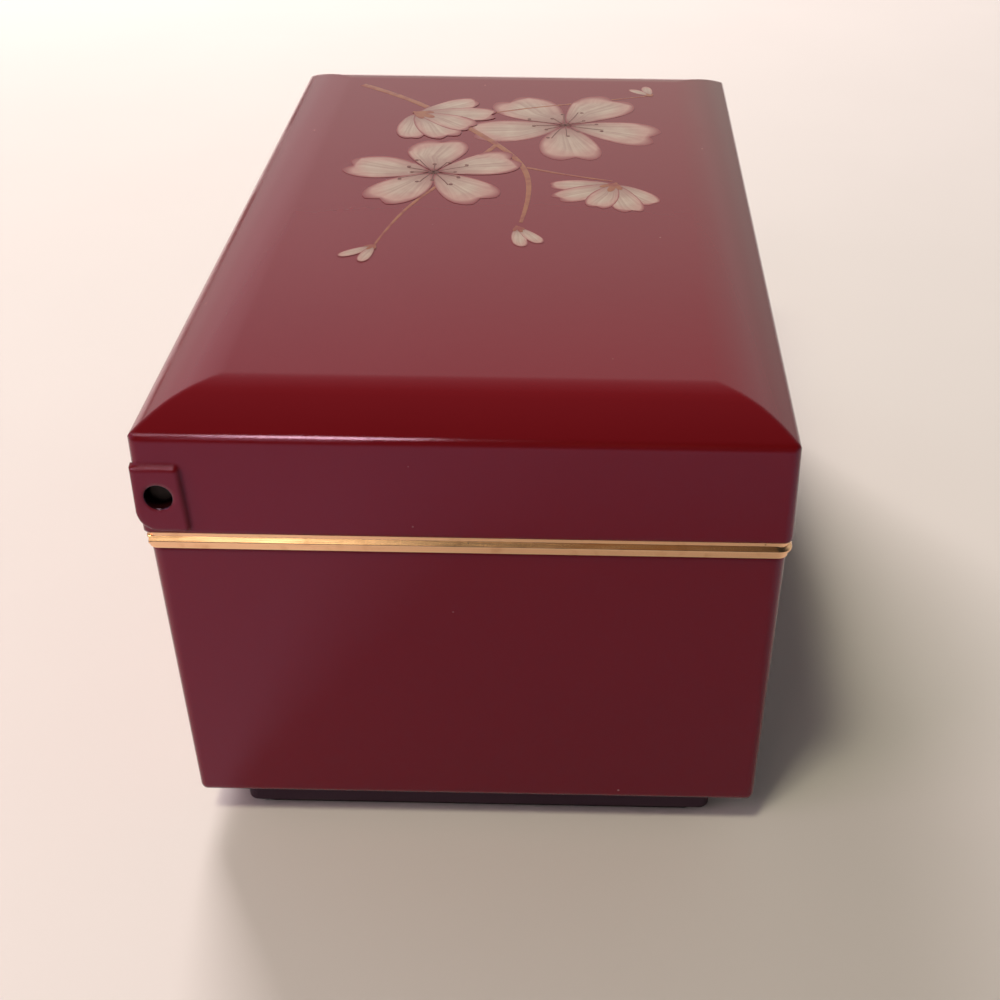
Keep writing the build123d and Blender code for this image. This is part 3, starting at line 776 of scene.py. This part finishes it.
class BOX_OT_foot_felt(bpy.types.Operator):
    """Makes the felt under the foot"""

    bl_idname = "jewelry_box.foot_felt"
    bl_label = "Foot Felt"

    def execute(self, context):
        low, high = corners("base_felt")
        bm = block(low, high)
        round_edges(bm, FELT_CORNER * MM, 4, upright)
        round_edges(bm, FELT_EDGE * MM, 2, lambda edge: max(vert.co.z for vert in edge.verts) < low.z + LEVEL * MM)
        add_piece("foot_felt", bm, felt_material(), "base", ["base_felt"])
        return {"FINISHED"}


class LiningSettings(bpy.types.PropertyGroup):
    """Velvet and how softly it is laid."""

    dark: FloatVectorProperty(
        name="Velvet shade",
        description="Colour of the velvet face on",
        default=linear("#4f0a1a"),
        size=4,
        subtype="COLOR",
    )
    light: FloatVectorProperty(
        name="Velvet light",
        description="Colour of the velvet where it is brushed",
        default=linear("#7a152b"),
        size=4,
        subtype="COLOR",
    )
    swell: FloatProperty(
        name="Lining swell", description="How far the walls' velvet stands out", default=0.35 * MM, unit="LENGTH"
    )
    roll_pressure: FloatProperty(name="Roll pressure", description="Cloth pressure in the ring rolls", default=4.0)
    pad_rise: FloatProperty(
        name="Pad rise", description="The most that the floor pads rise", default=1.6 * MM, unit="LENGTH"
    )


def swell_side(bm, axis, side, amount):
    """Crowns one broad side of a form, so that its middle stands out and its edges stay."""
    spans = [(min(v.co[i] for v in bm.verts), max(v.co[i] for v in bm.verts)) for i in range(3)]
    face = spans[axis][1 if side > 0 else 0]
    for vert in bm.verts:
        if abs(vert.co[axis] - face) > 0.05 * MM:
            continue
        room = 1.0
        for other in {0, 1, 2} - {axis}:
            low, high = spans[other]
            across = (2 * vert.co[other] - low - high) / (high - low)
            room *= 1 - across**6
        vert.co[axis] += side * amount * room


class BOX_OT_linings(bpy.types.Operator):
    """Makes the velvet walls of the base and of the lid, and the two dividers"""

    bl_idname = "jewelry_box.linings"
    bl_label = "Wall Linings and Dividers"

    def execute(self, context):
        settings = context.scene.box_lining
        velvet = velvet_material("crimson_velvet", tuple(settings.dark), tuple(settings.light))
        walls = (
            ("front_lining", "base", 1, 1),
            ("back_lining", "base", 1, -1),
            ("left_lining", "base", 0, 1),
            ("right_lining", "base", 0, -1),
            ("lid_front_lining", "lid", 1, 1),
            ("lid_back_lining", "lid", 1, -1),
            ("lid_left_lining", "lid", 0, 1),
            ("lid_right_lining", "lid", 0, -1),
        )
        for node, body, axis, side in walls:
            bm = block(*corners(node))
            round_edges(bm, LINING_EDGE * MM, 3)
            slice_along(bm, 1 - axis, BAND * MM)
            slice_along(bm, 2, 0.8 * BAND * MM)
            swell_side(bm, axis, side, settings.swell)
            add_piece(node.replace("lining", "velvet"), bm, velvet, body, [node])
        for node, across in (("cross_divider", 0), ("well_divider", 1)):
            low, high = corners(node)
            low.z -= FLOOR_SINK * MM
            bm = block(low, high)

            def upper_long(edge):
                first, second = [vert.co for vert in edge.verts]
                level = min(first.z, second.z) > high.z - LEVEL * MM
                return level and abs(first[across] - second[across]) < LEVEL * MM

            round_edges(bm, DIVIDER_EDGE * MM, 5, upper_long)
            slice_along(bm, 1 - across, BAND * MM)
            slice_along(bm, 2, BAND * MM)
            add_piece(node + "_velvet", bm, velvet, "base", [node])
        return {"FINISHED"}


class BOX_OT_floor_pads(bpy.types.Operator):
    """Makes the velvet floor with a soft pad in each well"""

    bl_idname = "jewelry_box.floor_pads"
    bl_label = "Floor Pads"

    def execute(self, context):
        settings = context.scene.box_lining
        velvet = bpy.data.materials["crimson_velvet"]
        low, high = corners("floor_lining")
        cross_high = corners("cross_divider")[1]
        well_low, well_high = corners("well_divider")
        front_inner = corners("front_lining")[1].y
        back_inner = corners("back_lining")[0].y
        board_top = high.z - FLOOR_SINK * MM
        bm = block(low, (high.x, high.y, board_top))
        add_piece("floor_velvet", bm, velvet, "base", ["floor_lining"])
        spans = {
            "front_pad": (front_inner + PAD_WALL_GAP * MM, well_low.y - PAD_DIVIDER_GAP * MM),
            "back_pad": (well_high.y + PAD_DIVIDER_GAP * MM, back_inner - PAD_WALL_GAP * MM),
        }
        for name, (y_low, y_high) in spans.items():
            bm = block(
                (cross_high.x + PAD_DIVIDER_GAP * MM, y_low, board_top + 2 * LEVEL * MM),
                (well_high.x - PAD_WALL_GAP * MM, y_high, high.z + PAD_RISE * MM),
            )
            round_edges(bm, PAD_EDGE * MM, 3, lambda edge: max(vert.co.z for vert in edge.verts) > high.z)
            slice_along(bm, 0, PAD_SPACING * MM)
            slice_along(bm, 1, PAD_SPACING * MM)
            held_below = board_top + 0.5 * MM
            bm = blow_up(bm, 4.0, 0.05, settings.pad_rise, lambda place: place.z < held_below)
            pad = add_piece(name, bm, velvet, "base")
            soften(pad)
        return {"FINISHED"}


class BOX_OT_ring_rolls(bpy.types.Operator):
    """Makes the ring bed and the six padded rolls that hold rings between them"""

    bl_idname = "jewelry_box.ring_rolls"
    bl_label = "Ring Rolls"

    def execute(self, context):
        settings = context.scene.box_lining
        velvet = bpy.data.materials["crimson_velvet"]
        low, high = corners("ring_bed")
        low.z -= FLOOR_SINK * MM
        bm = block(low, high)
        round_edges(bm, 0.4 * MM, 3)
        add_piece("ring_bed_velvet", bm, velvet, "base", ["ring_bed"])
        low, high = corners("ring_rolls")
        pitch = (high.x - low.x + ROLL_GAP * MM) / ROLL_COUNT
        width = pitch - 2 * ROLL_GAP * MM

        def upper_long(edge):
            first, second = [vert.co for vert in edge.verts]
            return min(first.z, second.z) > high.z - ROLL_ROOM * MM and abs(first.y - second.y) > 1 * MM

        rolls = bmesh.new()
        for index in range(ROLL_COUNT):
            start = low.x + index * pitch + ROLL_GAP / 2 * MM
            bm = block(
                (start, low.y + ROLL_ROOM * MM, low.z),
                (start + width, high.y - ROLL_ROOM * MM, high.z - 0.2 * MM),
            )
            round_edges(bm, ROLL_EDGE * MM, 6, upper_long)
            slice_along(bm, 1, ROLL_SPACING * MM)
            slice_along(bm, 2, ROLL_SPACING * MM)
            part = bpy.data.meshes.new("roll")
            bm.to_mesh(part)
            bm.free()
            rolls.from_mesh(part)
        held_below = low.z + 0.4 * MM
        rolls = blow_up(rolls, settings.roll_pressure, 0.06, 0.42 * MM, lambda place: place.z < held_below)
        piece = add_piece("ring_roll_pads", rolls, velvet, "base", ["ring_rolls"])
        soften(piece)
        return {"FINISHED"}


class BOX_OT_lid_pad(bpy.types.Operator):
    """Makes the padded velvet round the mirror, drawn in at the walls and under the frame"""

    bl_idname = "jewelry_box.lid_pad"
    bl_label = "Lid Pad"

    def execute(self, context):
        velvet = bpy.data.materials["crimson_velvet"]
        low, high = corners("lid_lining")
        frame_high = corners("mirror_frame")[1]
        short_wave, long_wave = [wave * MM for wave in GATHER_WAVES]
        bm = block(low, high)
        slice_along(bm, 0, LID_PAD_SPACING * MM)
        slice_along(bm, 1, LID_PAD_SPACING * MM)
        for vert in bm.verts:
            if vert.co.z > low.z + 0.1 * MM:
                continue
            x, y = vert.co.x, vert.co.y
            from_frame = max(abs(x) - frame_high.x, abs(y) - frame_high.y)
            from_wall = min(high.x - abs(x), high.y - abs(y))
            if from_frame <= 0 or from_wall <= 0:
                continue
            across = from_frame / (from_frame + from_wall)
            around = x if from_frame == abs(y) - frame_high.y else y
            gather = math.sin(around / short_wave) * math.sin(around / long_wave + 1.0) * (1 - across)
            vert.co.z -= (math.sin(math.pi * across) ** 0.6 * LID_PAD_SWELL + gather * GATHER_HEIGHT) * MM
        pad = add_piece("lid_pad", bm, velvet, "lid", ["lid_lining"])
        soften(pad)
        return {"FINISHED"}


class BlossomSettings(bpy.types.PropertyGroup):
    """The painted spray on the lid."""

    pale: FloatVectorProperty(
        name="Petal colour", description="Colour of the petals", default=linear("#aa9a90"), size=4, subtype="COLOR"
    )
    edge: FloatVectorProperty(
        name="Petal edge", description="Blush at the petals' edges", default=linear("#a67b76"), size=4, subtype="COLOR"
    )
    shadow: FloatVectorProperty(
        name="Petal shade",
        description="Colour at the petals' roots",
        default=linear("#7d5f58"),
        size=4,
        subtype="COLOR",
    )
    thickness: FloatProperty(
        name="Paint thickness", description="Thickness of the painted layer", default=0.003 * MM, unit="LENGTH"
    )


def add_petal(bm, root, turn, length, width, notch, level):
    """Adds one flat petal: a disc with inner rings, drawn out from its root, with a notch at its far end."""
    spread = bm.loops.layers.uv.get("petal") or bm.loops.layers.uv.new("petal")
    disc = bmesh.ops.create_circle(bm, cap_ends=True, radius=1.0, segments=36)
    verts = set(disc["verts"])
    faces = list({face for vert in verts for face in vert.link_faces})
    for thickness in (0.05, 0.05, 0.15, 0.2, 0.2):
        ring = bmesh.ops.inset_region(bm, faces=faces, thickness=thickness, use_even_offset=True)
        verts |= {vert for face in ring["faces"] for vert in face.verts}
    faces = {face for vert in verts for face in vert.link_faces}
    for face in faces:
        for loop in face.loops:
            loop[spread].uv = loop.vert.co.xy
    for vert in {vert for face in faces for vert in face.verts}:
        x, y = vert.co.x, vert.co.y
        along = (y + 1) / 2
        dent = notch * math.exp(-((x / 0.22) ** 2)) * max(0.0, y) ** 2
        side = x * (0.35 + 0.65 * along**0.8) * (1 + 0.06 * math.sin(5 * along + turn))
        curl = 0.09 * math.sin(3 * turn) * along**2
        place = Vector((side * width / 2 + curl * length, (along - dent) * length, 0))
        place.rotate(Matrix.Rotation(turn, 3, "Z"))
        vert.co = Vector((root[0], root[1], level)) + place


def add_stamen(bm, root, turn, length, level):
    """Adds one painted stamen: a fine line from the blossom's middle with a dot at its end."""
    heading = Matrix.Rotation(turn, 3, "Z")
    tip = Vector((0, length, 0))
    tip.rotate(heading)
    start = Vector((root[0], root[1], level))
    line = bmesh.ops.create_grid(bm, x_segments=1, y_segments=4, size=0.5)["verts"]
    bmesh.ops.scale(bm, vec=(STAMEN_WIDTH * MM, length, 1), verts=line)
    bmesh.ops.translate(bm, vec=(0, length / 2, 0), verts=line)
    for vert in line:
        vert.co.x += 0.1 * length * math.sin(4 * turn) * (vert.co.y / length) ** 2
    bmesh.ops.rotate(bm, matrix=heading, verts=line)
    bmesh.ops.translate(bm, vec=start, verts=line)
    dot = bmesh.ops.create_circle(bm, cap_ends=True, radius=STAMEN_DOT * MM, segments=12)["verts"]
    bmesh.ops.translate(bm, vec=start + tip + Vector((0, 0, DOT_LIFT * MM)), verts=dot)


class BOX_OT_blossoms(bpy.types.Operator):
    """Paints the spray of blossoms on the lid"""

    bl_idname = "jewelry_box.blossoms"
    bl_label = "Painted Blossoms"

    def execute(self, context):
        settings = context.scene.box_blossom
        ground = tuple(context.scene.box_lacquer.colour)
        petal_paint = paint_material(
            "pale_pink_enamel", tuple(settings.pale), tuple(settings.edge), tuple(settings.shadow), ground
        )
        top = corners("lid_shell")[1].z

        def base_level(number):
            # Blossoms whose petals may cross lie at three levels, a hair apart
            return top + (PAINT_LIFT + BLOSSOM_STEP * (number % 3)) * MM

        def root_at(x, y, heading, shift):
            return (x * MM - math.sin(heading) * shift * MM, y * MM + math.cos(heading) * shift * MM)

        for number, (x, y, size, turn, petals) in enumerate(BLOSSOMS):
            bm = bmesh.new()
            level = base_level(number)
            for angle, length, width, notch in petals:
                heading = math.radians(turn + angle)
                root = root_at(x, y, heading, 0.06 * size)
                add_petal(bm, root, heading, length * size * MM, width * size * MM, notch, level)
                level += PETAL_STEP * MM
            bmesh.ops.solidify(bm, geom=bm.faces[:], thickness=settings.thickness)
            add_piece(f"blossom_{number + 1}", bm, petal_paint, "lid", smooth=False)
        twig_paint = twig_material("gold_brown_enamel", linear("#86502f"), 0.75, ground)
        stamen_paint = twig_material("deep_gold_enamel", linear("#5e2f1c"), 0.3, ground)
        for number, (x, y, size, turn, petals) in enumerate(BLOSSOMS):
            level = base_level(number) + DETAIL_LIFT * MM
            bm = bmesh.new()
            if petals is OPEN_PETALS:
                for angle, length in STAMENS:
                    add_stamen(bm, (x * MM, y * MM), math.radians(turn + angle), length * size * MM, level)
            else:
                for angle, length, width in SEPALS:
                    heading = math.radians(turn + angle)
                    root = root_at(x, y, heading, -0.04 * size)
                    add_petal(bm, root, heading, length * size * MM, width * size * MM, 0.0, level)
                    level += SEPAL_STEP * MM
            bmesh.ops.solidify(bm, geom=bm.faces[:], thickness=settings.thickness)
            name, paint = ("stamens", stamen_paint) if petals is OPEN_PETALS else ("sepals", twig_paint)
            add_piece(f"{name}_{number + 1}", bm, paint, "lid", smooth=False)
        for number, (points, thickness) in enumerate(TWIGS):
            curve = bpy.data.curves.new("twig", "CURVE")
            curve.dimensions = "3D"
            curve.bevel_depth = thickness / 2 * MM
            curve.bevel_resolution = 2
            curve.use_fill_caps = True
            spline = curve.splines.new("NURBS")
            spline.points.add(len(points) - 1)
            for point, (x, y, share) in zip(spline.points, points):
                point.co = (x * MM, y * MM, 0, 1)
                point.radius = share
            spline.order_u = 3
            spline.use_endpoint_u = True
            line = bpy.data.objects.new("twig", curve)
            context.scene.collection.objects.link(line)
            mesh = bpy.data.meshes.new_from_object(line.evaluated_get(context.evaluated_depsgraph_get()))
            bpy.data.objects.remove(line)
            bm = bmesh.new()
            bm.from_mesh(mesh)
            bmesh.ops.scale(bm, vec=(1, 1, TWIG_FLATNESS), verts=bm.verts)
            bmesh.ops.translate(bm, vec=(0, 0, top + TWIG_LIFT * MM), verts=bm.verts)
            add_piece(f"twig_{number + 1}", bm, twig_paint, "lid")
        return {"FINISHED"}


class BOX_PT_panel(bpy.types.Panel):
    """Lists the pieces of the jewelry box"""

    bl_label = "Jewelry Box"
    bl_idname = "BOX_PT_panel"
    bl_space_type = "VIEW_3D"
    bl_region_type = "UI"
    bl_category = "Jewelry Box"

    def draw(self, context):
        for operator in OPERATORS:
            self.layout.operator(operator.bl_idname)


SETTINGS = {
    "box_stage": StageSettings,
    "box_lacquer": LacquerSettings,
    "box_lining": LiningSettings,
    "box_blossom": BlossomSettings,
}
OPERATORS = (
    BOX_OT_stage,
    BOX_OT_shells,
    BOX_OT_lid_bead,
    BOX_OT_foot_felt,
    BOX_OT_linings,
    BOX_OT_floor_pads,
    BOX_OT_ring_rolls,
    BOX_OT_lid_pad,
    BOX_OT_blossoms,
)


def register():
    for settings in SETTINGS.values():
        bpy.utils.register_class(settings)
    for name, settings in SETTINGS.items():
        setattr(bpy.types.Scene, name, PointerProperty(type=settings))
    for operator in OPERATORS:
        bpy.utils.register_class(operator)
    bpy.utils.register_class(BOX_PT_panel)


def unregister():
    bpy.utils.unregister_class(BOX_PT_panel)
    for operator in reversed(OPERATORS):
        bpy.utils.unregister_class(operator)
    for name, settings in SETTINGS.items():
        delattr(bpy.types.Scene, name)
        bpy.utils.unregister_class(settings)


def main():
    register()
    for operator in OPERATORS:
        group, name = operator.bl_idname.split(".")
        getattr(getattr(bpy.ops, group), name)()


if __name__ == "__main__":
    main()
